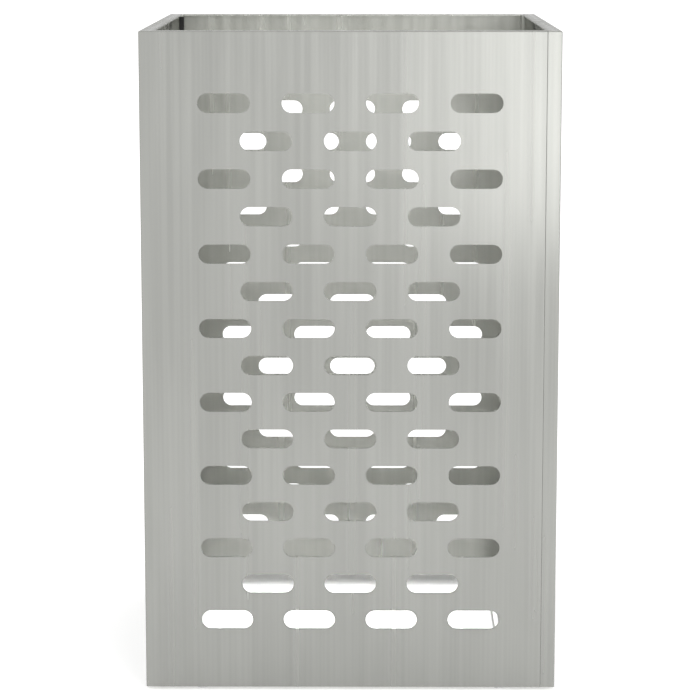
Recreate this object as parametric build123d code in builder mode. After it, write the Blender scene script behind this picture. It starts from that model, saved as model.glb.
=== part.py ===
"""Square umbrella stand: four stainless sheet panels, an inner base frame and a lift-out drip tray.

Millimetres, +Z up.  The origin is on the floor under the middle of the stand, and the front faces -Y.
"""
import os

from build123d import *

# ---- Driving dimensions ----
width = 250.0                # outside, along X
depth = 250.0                # outside, along Y
sheet_height = 400.0         # height of the sheet body
foot_lift = 2.0              # the sheet body stands this far off the floor
sheet = 1.0                  # sheet thickness

rim_return = 8.7             # inward return along the top edge, and the visible corner strip
bottom_return = 10.5         # inward return along the bottom edge
joint_flange = 12.0          # depth of the vertical joint flanges
weld_flange = 11.0           # flange of the left panel, welded behind the front panel
edge_radius = 0.8            # outside radius of the folded edges
seam_radius = 0.3            # and of the two edges that meet at a seam

slot_length = 31.2           # horizontal obround slots of the front and rear panels
slot_height = 11.5
slot_pitch = 50.0
row_pitch = 22.5
slot_rows = 15
wide_row_slots = 4

vent_width = 14.0            # vertical obround vents near the rear edge of the side panels
vent_height = 32.0
vent_pitch = 61.3
vent_count = 6
vent_first_z = 26.0
vent_from_rear = 12.7

joint_first_z = 48.0         # screws of the vertical joints
joint_pitch = 98.0
joint_count = 4
joint_screw_diameter = 4.0
joint_head_diameter = 6.6
joint_head_height = 2.2
joint_nut_across_flats = 7.0
joint_nut_height = 3.2
joint_nut_dome = 2.0
joint_shank_engagement = 4.0

base_top_z = 14.6            # top face of the base frame
base_clearance = 0.3         # gap between the base frame and the panels
ledge_left = 9.5             # from the outside face of the stand to the tray opening
ledge_right = 28.3
ledge_front = 11.5
ledge_rear = 11.5
opening_radius = 3.0
tray_rest_z = 4.0            # underside of the tray
rest_tab_length = 16.0
rest_tab_reach = 5.0

tray_gap = 0.8               # all round, between the tray and the frame
tray_wall = 1.5
tray_height = 9.5
tray_corner = 14.0
tray_rim = 1.0

foot_x = 91.0
foot_inset = 6.8             # foot axis to the outside face
foot_diameter = 7.4
foot_screw_diameter = 3.0
foot_screw_grip = 1.2
foot_head_diameter = 5.6
foot_head_height = 1.8
screw_hole_clearance = 0.2

trim_wall = 0.6              # rubber edge trim of the rear left joint
trim_depth = 3.0

# ---- Places worked out from them ----
half_x = width / 2
half_y = depth / 2
bottom_z = foot_lift
top_z = foot_lift + sheet_height
seam_x = half_x - rim_return
first_row_z = bottom_z + (sheet_height - (slot_rows - 1) * row_pitch) / 2
flange_bottom_z = base_top_z
joint_y = half_y - sheet - joint_flange / 2
joint_heights = [joint_first_z + i * joint_pitch for i in range(joint_count)]
foot_y = half_y - foot_inset
opening_min_x = -half_x + ledge_left
opening_max_x = half_x - ledge_right
opening_min_y = -half_y + ledge_front
opening_max_y = half_y - ledge_rear
opening_x = (opening_min_x + opening_max_x) / 2
opening_y = (opening_min_y + opening_max_y) / 2
opening_width = opening_max_x - opening_min_x
opening_depth = opening_max_y - opening_min_y
LOW = (Align.MIN, Align.MIN, Align.MIN)

os.makedirs("parts", exist_ok=True)


def plate(x0, x1, y0, y1, z0, z1):
    """Adds an upright box between the given limits to the part being built."""
    with Locations((x0, y0, z0)):
        Box(x1 - x0, y1 - y0, z1 - z0, align=LOW)


def save(part, name):
    part.label = name
    export_step(part, f"parts/{name}.step")


def slot_places():
    """Slot centres of a perforated panel: rows of four and of three slots in turn."""
    places = []
    for row in range(slot_rows):
        count = wide_row_slots - row % 2
        z = first_row_z + row * row_pitch
        for i in range(count):
            places.append(((i - (count - 1) / 2) * slot_pitch, z))
    return places


def cut_slots(y_middle):
    """Punches the horizontal slots through the sheet whose middle lies at y_middle."""
    with BuildSketch(Plane.XZ.offset(-y_middle)) as slots:
        with Locations(*slot_places()):
            SlotOverall(slot_length, slot_height)
    extrude(slots.sketch, amount=sheet, both=True, mode=Mode.SUBTRACT)


def cut_joint_holes(x_middle, y_middle):
    """Drills the row of screw holes through a vertical joint flange."""
    with BuildSketch(Plane.YZ.offset(x_middle)) as holes:
        with Locations(*[(y_middle, z) for z in joint_heights]):
            Circle(joint_screw_diameter / 2)
    extrude(holes.sketch, amount=sheet, both=True, mode=Mode.SUBTRACT)


def cut_foot_holes(z_middle, y_middle):
    """Drills the two holes for the foot screws through a flat return or the base frame."""
    with BuildSketch(Plane.XY.offset(z_middle)) as holes:
        with Locations((-foot_x, y_middle), (foot_x, y_middle)):
            Circle(foot_screw_diameter / 2 + screw_hole_clearance)
    extrude(holes.sketch, amount=sheet, both=True, mode=Mode.SUBTRACT)


def soften(part, corner_x, corner_y, radius):
    """Rounds the folded vertical edge that stands at the given corner of the plan."""
    upright = part.edges().filter_by(Axis.Z)
    folded = upright.filter_by_position(Axis.X, corner_x - 0.01, corner_x + 0.01)
    folded = folded.filter_by_position(Axis.Y, corner_y - 0.01, corner_y + 0.01)
    fillet(folded, radius=radius)


def soften_rim(part, axis, outer):
    """Rounds the folded top edge that lies in the outside face at position outer along axis."""
    level = part.edges().filter_by(Axis.X if axis == Axis.Y else Axis.Y)
    rim = level.filter_by_position(Axis.Z, top_z - 0.01, top_z + 0.01)
    fillet(rim.filter_by_position(axis, outer - 0.01, outer + 0.01), radius=edge_radius)


# ---- Front panel: perforated face, covers the front left corner, joint flange at the right ----
with BuildPart() as front_panel:
    plate(-half_x, seam_x, -half_y, -half_y + sheet, bottom_z, top_z)
    plate(-seam_x, seam_x, -half_y, -half_y + rim_return, top_z - sheet, top_z)
    plate(-seam_x, seam_x, -half_y, -half_y + bottom_return, bottom_z, bottom_z + sheet)
    plate(
        seam_x - sheet, seam_x,
        -half_y, -half_y + sheet + joint_flange,
        flange_bottom_z, top_z,
    )
    cut_slots(-half_y + sheet / 2)
    cut_joint_holes(seam_x - sheet / 2, -joint_y)
    cut_foot_holes(bottom_z + sheet / 2, -foot_y)
    soften(front_panel, -half_x, -half_y, edge_radius)
    soften(front_panel, seam_x, -half_y, seam_radius)
    soften_rim(front_panel, Axis.Y, -half_y)
save(front_panel.part, "front_panel")

# ---- Rear panel: perforated face between two joint flanges ----
with BuildPart() as rear_panel:
    plate(-seam_x, seam_x, half_y - sheet, half_y, bottom_z, top_z)
    plate(-seam_x, seam_x, half_y - rim_return, half_y, top_z - sheet, top_z)
    plate(-seam_x, seam_x, half_y - bottom_return, half_y, bottom_z, bottom_z + sheet)
    for flange_x in (-seam_x, seam_x - sheet):
        plate(
            flange_x, flange_x + sheet,
            half_y - sheet - joint_flange, half_y,
            flange_bottom_z, top_z,
        )
    cut_slots(half_y - sheet / 2)
    cut_joint_holes(-seam_x + sheet / 2, joint_y)
    cut_joint_holes(seam_x - sheet / 2, joint_y)
    cut_foot_holes(bottom_z + sheet / 2, foot_y)
    soften(rear_panel, -seam_x, half_y, seam_radius)
    soften(rear_panel, seam_x, half_y, seam_radius)
    soften_rim(rear_panel, Axis.Y, half_y)
save(rear_panel.part, "rear_panel")


def cut_vents(x_middle):
    """Punches the column of vertical vents near the rear edge of a side panel."""
    vent_y = half_y - vent_from_rear
    with BuildSketch(Plane.YZ.offset(x_middle)) as vents:
        with Locations(*[(vent_y, vent_first_z + i * vent_pitch) for i in range(vent_count)]):
            SlotOverall(vent_height, vent_width, rotation=90)
    extrude(vents.sketch, amount=sheet, both=True, mode=Mode.SUBTRACT)


# ---- Left panel: welded behind the front panel, folded round the rear left corner ----
with BuildPart() as left_panel:
    plate(-half_x, -half_x + sheet, -half_y + sheet, half_y, bottom_z, top_z)
    plate(-half_x, -seam_x, -half_y + sheet, half_y, top_z - sheet, top_z)
    plate(-half_x, -seam_x, -half_y + sheet, half_y, bottom_z, bottom_z + sheet)
    plate(
        -half_x, -half_x + weld_flange,
        -half_y + sheet, -half_y + 2 * sheet,
        flange_bottom_z, top_z - 2 * sheet,
    )
    plate(-half_x, -seam_x, half_y - sheet, half_y, bottom_z, top_z)
    plate(
        -seam_x - sheet, -seam_x,
        half_y - sheet - joint_flange, half_y,
        flange_bottom_z, top_z,
    )
    cut_vents(-half_x + sheet / 2)
    cut_joint_holes(-seam_x - sheet / 2, joint_y)
    soften(left_panel, -half_x, half_y, edge_radius)
    soften(left_panel, -seam_x, half_y, seam_radius)
    soften_rim(left_panel, Axis.X, -half_x)
save(left_panel.part, "left_panel")

# ---- Right panel: folded round both right corners ----
with BuildPart() as right_panel:
    plate(half_x - sheet, half_x, -half_y, half_y, bottom_z, top_z)
    plate(seam_x, half_x, -half_y, half_y, top_z - sheet, top_z)
    plate(seam_x, half_x, -half_y, half_y, bottom_z, bottom_z + sheet)
    for strip_y, flange_y in ((-half_y, -half_y), (half_y - sheet, half_y - sheet - joint_flange)):
        plate(seam_x, half_x, strip_y, strip_y + sheet, bottom_z, top_z)
        plate(
            seam_x, seam_x + sheet,
            flange_y, flange_y + sheet + joint_flange,
            flange_bottom_z, top_z,
        )
    cut_vents(half_x - sheet / 2)
    cut_joint_holes(seam_x + sheet / 2, joint_y)
    cut_joint_holes(seam_x + sheet / 2, -joint_y)
    for corner_y in (-half_y, half_y):
        soften(right_panel, half_x, corner_y, edge_radius)
        soften(right_panel, seam_x, corner_y, seam_radius)
    soften_rim(right_panel, Axis.X, half_x)
save(right_panel.part, "right_panel")

# ---- Base frame: folded channel inside the panels, open in the middle for the tray ----
base_under_z = bottom_z + sheet
frame_half_x = half_x - sheet - base_clearance
frame_half_y = half_y - sheet - base_clearance
with BuildPart() as base_frame:
    plate(-frame_half_x, frame_half_x, -frame_half_y, frame_half_y, base_under_z, base_top_z)
    with BuildSketch(Plane.XY.offset(base_under_z)):
        Rectangle(2 * (frame_half_x - sheet), 2 * (frame_half_y - sheet))
        with Locations((opening_x, opening_y)):
            RectangleRounded(
                opening_width + 2 * sheet,
                opening_depth + 2 * sheet,
                opening_radius + sheet,
                mode=Mode.SUBTRACT,
            )
    extrude(amount=base_top_z - base_under_z - sheet, mode=Mode.SUBTRACT)
    with BuildSketch(Plane.XY.offset(base_top_z)):
        with Locations((opening_x, opening_y)):
            RectangleRounded(opening_width, opening_depth, opening_radius)
    extrude(amount=-base_top_z, mode=Mode.SUBTRACT)
    for tab_x in (opening_x - opening_width / 4, opening_x + opening_width / 4):
        for tab_y in (opening_min_y, opening_max_y - rest_tab_reach):
            plate(
                tab_x - rest_tab_length / 2, tab_x + rest_tab_length / 2,
                tab_y, tab_y + rest_tab_reach,
                tray_rest_z - sheet, tray_rest_z,
            )
    cut_foot_holes(base_top_z - sheet / 2, -foot_y)
    cut_foot_holes(base_top_z - sheet / 2, foot_y)
    top_lines = base_frame.edges().group_by(Axis.Z)[-1].filter_by(GeomType.LINE)
    fillet(top_lines, radius=edge_radius / 2)
save(base_frame.part, "base_frame")

# ---- Drip tray: shallow moulded tray that lifts out of the base frame ----
tray_width = opening_width - 2 * tray_gap
tray_depth = opening_depth - 2 * tray_gap
with BuildPart() as drip_tray:
    with BuildSketch(Plane.XY.offset(tray_rest_z)):
        with Locations((opening_x, opening_y)):
            RectangleRounded(tray_width - 2 * tray_rim, tray_depth - 2 * tray_rim, tray_corner)
    extrude(amount=tray_height)
    fillet(drip_tray.faces().sort_by(Axis.Z)[0].edges(), radius=2 * tray_wall)
    offset(amount=-tray_wall, openings=drip_tray.faces().sort_by(Axis.Z)[-1])
    with BuildSketch(Plane.XY.offset(tray_rest_z + tray_height - tray_wall)):
        with Locations((opening_x, opening_y)):
            RectangleRounded(tray_width, tray_depth, tray_corner)
            RectangleRounded(
                tray_width - 2 * tray_rim - tray_wall,
                tray_depth - 2 * tray_rim - tray_wall,
                tray_corner - tray_wall,
                mode=Mode.SUBTRACT,
            )
    extrude(amount=tray_wall)
save(drip_tray.part, "drip_tray")


def joint_seats():
    """Where each joint screw sits: on the inner flange face, pointing towards the side panel."""
    seats = []
    for side, y in ((1, -joint_y), (1, joint_y), (-1, joint_y)):
        for z in joint_heights:
            origin = (side * (seam_x - sheet), y, z)
            seats.append(Plane(origin=origin, x_dir=(0, 0, 1), z_dir=(side, 0, 0)).location)
    return seats


def cross_recess(z, size, recess_depth):
    """Cuts a cross recess down from height z into the screw head being built."""
    with BuildSketch(Plane.XY.offset(z)) as recess:
        Rectangle(size, size / 5)
        Rectangle(size / 5, size)
    extrude(recess.sketch, amount=recess_depth, mode=Mode.SUBTRACT)


# ---- Joint screws: domed heads inside the stand, shanks into the cap nuts ----
with BuildPart() as joint_screw:
    with BuildSketch():
        Circle(joint_screw_diameter / 2)
    extrude(amount=2 * sheet + joint_shank_engagement)
    with BuildSketch():
        Circle(joint_head_diameter / 2)
    extrude(amount=-joint_head_height)
    fillet(joint_screw.faces().sort_by(Axis.Z)[0].edges(), radius=0.6 * joint_head_height)
    cross_recess(-joint_head_height, 0.5 * joint_head_diameter, 0.5 * joint_head_height)

with BuildPart() as joint_screws:
    with Locations(*joint_seats()):
        add(joint_screw.part)
save(joint_screws.part, "joint_screws")

# ---- Cap nuts: between the joint flanges and the side panels ----
nut_seat = 2 * sheet
with BuildPart() as joint_nut:
    with BuildSketch(Plane.XY.offset(nut_seat)):
        RegularPolygon(joint_nut_across_flats / 2, 6, major_radius=False)
    extrude(amount=joint_nut_height)
    with BuildSketch(Plane.XY.offset(nut_seat + joint_nut_height)):
        Circle(0.46 * joint_nut_across_flats)
    extrude(amount=joint_nut_dome)
    fillet(joint_nut.faces().sort_by(Axis.Z)[-1].edges(), radius=0.9 * joint_nut_dome)
    with BuildSketch(Plane.XY.offset(nut_seat)):
        Circle(joint_screw_diameter / 2)
    extrude(amount=joint_shank_engagement, mode=Mode.SUBTRACT)

with BuildPart() as joint_nuts:
    with Locations(*joint_seats()):
        add(joint_nut.part)
save(joint_nuts.part, "joint_nuts")

# ---- Edge trim: rubber channel pressed over the flange edges of the rear left joint ----
flange_edge_y = half_y - sheet - joint_flange
trim_bottom_z = base_top_z + sheet
trim_top_z = top_z - 1.5 * sheet
with BuildPart() as edge_trim:
    with BuildSketch(Plane.XY.offset(trim_bottom_z)):
        with Locations((-seam_x, flange_edge_y - trim_wall)):
            Rectangle(2 * (sheet + trim_wall), trim_depth, align=(Align.CENTER, Align.MIN))
        with Locations((-seam_x, flange_edge_y)):
            Rectangle(2 * sheet, trim_depth, align=(Align.CENTER, Align.MIN), mode=Mode.SUBTRACT)
    extrude(amount=trim_top_z - trim_bottom_z)
    nose = edge_trim.faces().sort_by(Axis.Y)[0].edges().filter_by(Axis.Z)
    fillet(nose, radius=0.8 * trim_wall)
save(edge_trim.part, "edge_trim")

# ---- Foot screws: through the base frame and the bottom returns into the foot pads ----
foot_places = [(x, y) for x in (-foot_x, foot_x) for y in (-foot_y, foot_y)]
foot_screw_tip_z = foot_lift - foot_screw_grip
with BuildPart() as foot_screws:
    with BuildSketch(Plane.XY.offset(foot_screw_tip_z)):
        with Locations(*foot_places):
            Circle(foot_screw_diameter / 2)
    extrude(amount=base_top_z - foot_screw_tip_z)
    with BuildSketch(Plane.XY.offset(base_top_z)):
        with Locations(*foot_places):
            Circle(foot_head_diameter / 2)
    extrude(amount=foot_head_height)
    head_tops = foot_screws.faces().filter_by(Axis.Z).group_by(Axis.Z)[-1]
    fillet(head_tops.edges(), radius=0.6 * foot_head_height)
    with BuildSketch(Plane.XY.offset(base_top_z + foot_head_height)):
        with Locations(*foot_places):
            Rectangle(foot_head_diameter / 2, foot_head_diameter / 10)
            Rectangle(foot_head_diameter / 10, foot_head_diameter / 2)
    extrude(amount=-0.5 * foot_head_height, mode=Mode.SUBTRACT)
save(foot_screws.part, "foot_screws")

# ---- Foot pads: rubber discs under the bottom returns ----
with BuildPart() as foot_pads:
    with BuildSketch():
        with Locations(*foot_places):
            Circle(foot_diameter / 2)
    extrude(amount=foot_lift)
    pad_soles = foot_pads.faces().filter_by(Axis.Z).group_by(Axis.Z)[0]
    chamfer(pad_soles.edges(), length=0.3 * foot_lift)
    with BuildSketch(Plane.XY.offset(foot_screw_tip_z)):
        with Locations(*foot_places):
            Circle(foot_screw_diameter / 2)
    extrude(amount=foot_screw_grip, mode=Mode.SUBTRACT)
save(foot_pads.part, "foot_pads")
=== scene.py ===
"""Looks of the square umbrella stand: brushed steel panels, white drip tray, and a plain white studio."""
import math

import bpy
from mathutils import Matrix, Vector


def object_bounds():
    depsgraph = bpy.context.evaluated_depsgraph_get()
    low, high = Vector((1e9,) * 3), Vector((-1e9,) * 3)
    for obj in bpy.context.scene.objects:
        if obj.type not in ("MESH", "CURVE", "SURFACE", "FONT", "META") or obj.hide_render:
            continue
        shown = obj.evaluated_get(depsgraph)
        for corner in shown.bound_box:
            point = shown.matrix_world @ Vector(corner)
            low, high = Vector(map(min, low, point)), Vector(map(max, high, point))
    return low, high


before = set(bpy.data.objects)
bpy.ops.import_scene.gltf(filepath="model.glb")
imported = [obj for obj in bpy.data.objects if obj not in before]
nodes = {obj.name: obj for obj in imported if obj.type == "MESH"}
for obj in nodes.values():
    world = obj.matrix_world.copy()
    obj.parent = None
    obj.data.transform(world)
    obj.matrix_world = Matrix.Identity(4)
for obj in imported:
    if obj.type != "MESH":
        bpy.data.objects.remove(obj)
cad_low, cad_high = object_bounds()
stand_centre = (cad_low + cad_high) / 2
stand_size = cad_high - cad_low

HALF_SHEET = 0.0005                 # half of the sheet's thickness
STEEL_TINT = (0.99, 1.0, 0.945)
WARM_WHITE = (1.0, 0.998, 0.99)


# ---- Node helpers ----
def new_material(name):
    """An empty node material with its output and a Principled shader. Returns (material, shader)."""
    material = bpy.data.materials.new(name)
    material.use_nodes = True
    tree = material.node_tree
    tree.nodes.clear()
    output = tree.nodes.new("ShaderNodeOutputMaterial")
    shader = tree.nodes.new("ShaderNodeBsdfPrincipled")
    tree.links.new(shader.outputs["BSDF"], output.inputs["Surface"])
    return material, shader


def noise(tree, stretch, detail, roughness=0.5):
    """Noise over the object's own coordinates. stretch is the grains per metre along X, Y and Z."""
    place = tree.nodes.new("ShaderNodeTexCoord")
    scale = tree.nodes.new("ShaderNodeMapping")
    scale.inputs["Scale"].default_value = stretch
    grain = tree.nodes.new("ShaderNodeTexNoise")
    grain.inputs["Scale"].default_value = 1.0
    grain.inputs["Detail"].default_value = detail
    grain.inputs["Roughness"].default_value = roughness
    tree.links.new(place.outputs["Object"], scale.inputs["Vector"])
    tree.links.new(scale.outputs["Vector"], grain.inputs["Vector"])
    return grain.outputs["Fac"]


def ramp(tree, fac, low, high, start=0.3, end=0.7):
    """Colours, or greys, from low to high as fac goes from start to end."""
    node = tree.nodes.new("ShaderNodeValToRGB")
    node.color_ramp.elements[0].position = start
    node.color_ramp.elements[0].color = low
    node.color_ramp.elements[1].position = end
    node.color_ramp.elements[1].color = high
    tree.links.new(fac, node.inputs["Fac"])
    return node.outputs["Color"]


def grey(value):
    """An opaque grey."""
    return (value, value, value, 1.0)


def tinted(value, tint):
    """A grey, coloured by tint."""
    return (value * tint[0], value * tint[1], value * tint[2], 1.0)


def multiply(tree, first, second):
    """The product of two colours."""
    node = tree.nodes.new("ShaderNodeMix")
    node.data_type = "RGBA"
    node.blend_type = "MULTIPLY"
    factor, colour_a, colour_b = (node.inputs[i] for i in (0, 6, 7))
    factor.default_value = 1.0
    tree.links.new(first, colour_a)
    tree.links.new(second, colour_b)
    return node.outputs[2]


def math_node(tree, operation, first, second=0.0):
    """The result of a Math node. second is a number or a socket, and ABSOLUTE leaves it out."""
    node = tree.nodes.new("ShaderNodeMath")
    node.operation = operation
    tree.links.new(first, node.inputs[0])
    if isinstance(second, float):
        node.inputs[1].default_value = second
    else:
        tree.links.new(second, node.inputs[1])
    return node.outputs["Value"]


def on_outer_faces(tree):
    """1 on the outward faces of the four walls, 0 on everything inside them."""
    place = tree.nodes.new("ShaderNodeTexCoord")
    axes = tree.nodes.new("ShaderNodeSeparateXYZ")
    tree.links.new(place.outputs["Object"], axes.inputs["Vector"])
    from_middle_x = math_node(tree, "ABSOLUTE", axes.outputs["X"])
    from_middle_y = math_node(tree, "ABSOLUTE", axes.outputs["Y"])
    from_middle = math_node(tree, "MAXIMUM", from_middle_x, from_middle_y)
    return math_node(tree, "GREATER_THAN", from_middle, stand_size.x / 2 - HALF_SHEET)


def add_bump(tree, shader, heights):
    """Chains bumps onto the shader's normal. heights is a list of (socket, strength, distance)."""
    below = None
    for height, strength, distance in heights:
        bump = tree.nodes.new("ShaderNodeBump")
        bump.inputs["Strength"].default_value = strength
        bump.inputs["Distance"].default_value = distance
        tree.links.new(height, bump.inputs["Height"])
        if below is not None:
            tree.links.new(below, bump.inputs["Normal"])
        below = bump.outputs["Normal"]
    tree.links.new(below, shader.inputs["Normal"])


# ---- Materials ----
def brushed_steel(name, outer_tone, painted_light_inner_tone, roughness):
    """Satin stainless steel with vertical brush lines and faint cloudy streaks.

    Faces inside the walls get a paler tone than the outer faces: painted light, brightening the inside as
    if more light reached it.
    """
    material, shader = new_material(name)
    tree = material.node_tree
    fine = noise(tree, (1600.0, 1600.0, 40.0), detail=1.0)
    lines = noise(tree, (480.0, 480.0, 5.0), detail=0.5)
    clouds = noise(tree, (45.0, 45.0, 8.0), detail=3.0)
    streaks = noise(tree, (170.0, 170.0, 3.0), detail=0.5)
    inner = tinted(painted_light_inner_tone, STEEL_TINT)
    outer = tinted(outer_tone, STEEL_TINT)
    # Painted light: the inner faces are paler than the outer ones, as if lit more strongly.
    shade = ramp(tree, on_outer_faces(tree), inner, outer, start=0.4, end=0.6)
    for layer, darkest in ((lines, 0.955), (clouds, 0.96), (streaks, 0.965)):
        darkening = ramp(tree, layer, grey(darkest), grey(1.0), start=0.4, end=0.6)
        shade = multiply(tree, shade, darkening)
    tree.links.new(shade, shader.inputs["Base Color"])
    smoothest, dullest = grey(roughness * 0.85), grey(roughness * 1.15)
    tree.links.new(ramp(tree, streaks, smoothest, dullest), shader.inputs["Roughness"])
    shader.inputs["Metallic"].default_value = 0.7
    shader.inputs["Specular IOR Level"].default_value = 0.2
    shader.inputs["Specular Tint"].default_value = grey(0.1)
    shader.inputs["Anisotropic"].default_value = 0.6
    tangent = tree.nodes.new("ShaderNodeTangent")
    tangent.direction_type = "RADIAL"
    tangent.axis = "Z"
    tree.links.new(tangent.outputs["Tangent"], shader.inputs["Tangent"])
    add_bump(tree, shader, [(fine, 0.02, 0.0001), (lines, 0.02, 0.0003), (streaks, 0.4, 0.0001)])
    return material


def tray_plastic():
    """White moulded plastic with a fine matte grain and faint scuffs."""
    material, shader = new_material("tray_plastic")
    tree = material.node_tree
    grain = noise(tree, (2500.0, 2500.0, 2500.0), detail=2.0)
    scuffs = noise(tree, (60.0, 60.0, 60.0), detail=5.0, roughness=0.65)
    shade = ramp(tree, scuffs, tinted(0.76, WARM_WHITE), tinted(0.82, WARM_WHITE))
    tree.links.new(shade, shader.inputs["Base Color"])
    tree.links.new(ramp(tree, scuffs, grey(0.38), grey(0.55)), shader.inputs["Roughness"])
    add_bump(tree, shader, [(grain, 0.15, 0.0001)])
    return material


def bright_screw():
    """Zinc-plated steel with a slight turned texture."""
    material, shader = new_material("screw_steel")
    tree = material.node_tree
    specks = noise(tree, (900.0, 900.0, 900.0), detail=3.0)
    tree.links.new(ramp(tree, specks, grey(0.72), tinted(0.86, WARM_WHITE)), shader.inputs["Base Color"])
    tree.links.new(ramp(tree, specks, grey(0.16), grey(0.3)), shader.inputs["Roughness"])
    shader.inputs["Metallic"].default_value = 1.0
    add_bump(tree, shader, [(specks, 0.1, 0.0002)])
    return material


def black_nut():
    """Black oxide finish, a little rubbed."""
    material, shader = new_material("nut_black")
    tree = material.node_tree
    specks = noise(tree, (700.0, 700.0, 700.0), detail=4.0)
    tree.links.new(ramp(tree, specks, grey(0.012), grey(0.035)), shader.inputs["Base Color"])
    tree.links.new(ramp(tree, specks, grey(0.3), grey(0.5)), shader.inputs["Roughness"])
    shader.inputs["Metallic"].default_value = 0.4
    add_bump(tree, shader, [(specks, 0.15, 0.0002)])
    return material


def rubber(name, tone, roughness):
    """Rubber with a fine skin."""
    material, shader = new_material(name)
    tree = material.node_tree
    skin = noise(tree, (1500.0, 1500.0, 1500.0), detail=3.0)
    darkest, palest = grey(0.75 * tone), grey(1.25 * tone)
    smoothest, dullest = grey(roughness - 0.1), grey(roughness + 0.1)
    tree.links.new(ramp(tree, skin, darkest, palest), shader.inputs["Base Color"])
    tree.links.new(ramp(tree, skin, smoothest, dullest), shader.inputs["Roughness"])
    shader.inputs["Specular IOR Level"].default_value = 0.35
    add_bump(tree, shader, [(skin, 0.2, 0.0002)])
    return material


# The paler inner tones are painted light on the inside faces of the panels and base frame.
panel_steel = brushed_steel("panel_steel", outer_tone=0.335, painted_light_inner_tone=0.72, roughness=0.24)
base_steel = brushed_steel("base_steel", outer_tone=0.34, painted_light_inner_tone=0.5, roughness=0.34)
screw_steel = bright_screw()
finishes = {
    "front_panel": panel_steel,
    "rear_panel": panel_steel,
    "left_panel": panel_steel,
    "right_panel": panel_steel,
    "base_frame": base_steel,
    "drip_tray": tray_plastic(),
    "joint_screws": screw_steel,
    "joint_nuts": black_nut(),
    # Black rubber edge trim; its near-black tone is partly painted shade, standing in for the shadow in
    # the seam it covers.
    "edge_trim": rubber("trim_rubber", tone=0.016, roughness=0.5),
    "foot_screws": screw_steel,
    "foot_pads": rubber("pad_rubber", tone=0.62, roughness=0.7),
}
for name, finish in finishes.items():
    slots = nodes[name].data.materials
    slots.clear()
    slots.append(finish)


# ---- Studio ----
def light_table():
    """White matte sheet that gives off a little light, so that shadows on it stay pale."""
    material, shader = new_material("light_table")
    shader.inputs["Base Color"].default_value = grey(0.9)
    shader.inputs["Roughness"].default_value = 0.9
    shader.inputs["Specular IOR Level"].default_value = 0.1
    shader.inputs["Emission Color"].default_value = grey(1.0)
    shader.inputs["Emission Strength"].default_value = 0.3
    return material


def make_floor():
    """A wide white floor, level with the bottom of the foot pads."""
    reach = 30.0
    corners = [(-reach, -reach, 0.0), (reach, -reach, 0.0), (reach, reach, 0.0), (-reach, reach, 0.0)]
    mesh = bpy.data.meshes.new("floor")
    mesh.from_pydata(corners, [], [(0, 1, 2, 3)])
    floor = bpy.data.objects.new("floor", mesh)
    floor.location.z = cad_low.z
    mesh.materials.append(light_table())
    bpy.context.scene.collection.objects.link(floor)


def softbox(name, place, target, size, power, spread=math.pi):
    """A rectangular area light at place, facing target."""
    data = bpy.data.lights.new(name, "AREA")
    data.shape = "RECTANGLE"
    data.size, data.size_y = size
    data.energy = power
    data.spread = spread
    light = bpy.data.objects.new(name, data)
    light.location = place
    light.rotation_euler = (Vector(target) - Vector(place)).to_track_quat("-Z", "Y").to_euler()
    bpy.context.scene.collection.objects.link(light)


def make_world(strength):
    """Even white light from every side."""
    world = bpy.data.worlds.new("studio")
    world.use_nodes = True
    background = world.node_tree.nodes["Background"]
    background.inputs["Color"].default_value = grey(1.0)
    background.inputs["Strength"].default_value = strength
    bpy.context.scene.world = world


def make_camera():
    """In front of the stand and a little over its rim, tilted down to take in the whole front face."""
    distance = 6.0 * stand_size.y       # from the front face
    above_rim = 0.07
    right_of_middle = 0.035 * stand_size.x
    tilt_down = math.radians(9.06)
    pan_left = math.radians(0.34)
    data = bpy.data.cameras.new("camera")
    data.sensor_width = 36.0
    data.lens = 130.46
    data.shift_y = -0.05
    camera = bpy.data.objects.new("camera", data)
    camera.location = (
        stand_centre.x + right_of_middle,
        cad_low.y - distance,
        cad_high.z + above_rim,
    )
    camera.rotation_euler = (math.pi / 2 - tilt_down, 0.0, pan_left)
    bpy.context.scene.collection.objects.link(camera)
    bpy.context.scene.camera = camera


make_floor()
make_world(strength=1.12)
softbox(
    "front_right",
    place=(0.4, -1.0, 0.56),
    target=(0.4, 0.0, 0.56),
    size=(0.6, 0.8),
    power=3.5,
)
softbox(
    "into_the_tray",
    place=(0.0, 0.0, 1.5),
    target=(0.0, 0.0, 0.0),
    size=(0.2, 0.2),
    power=0.25,
    spread=math.radians(1.5),
)
make_camera()
bpy.context.scene.view_settings.view_transform = "Standard"
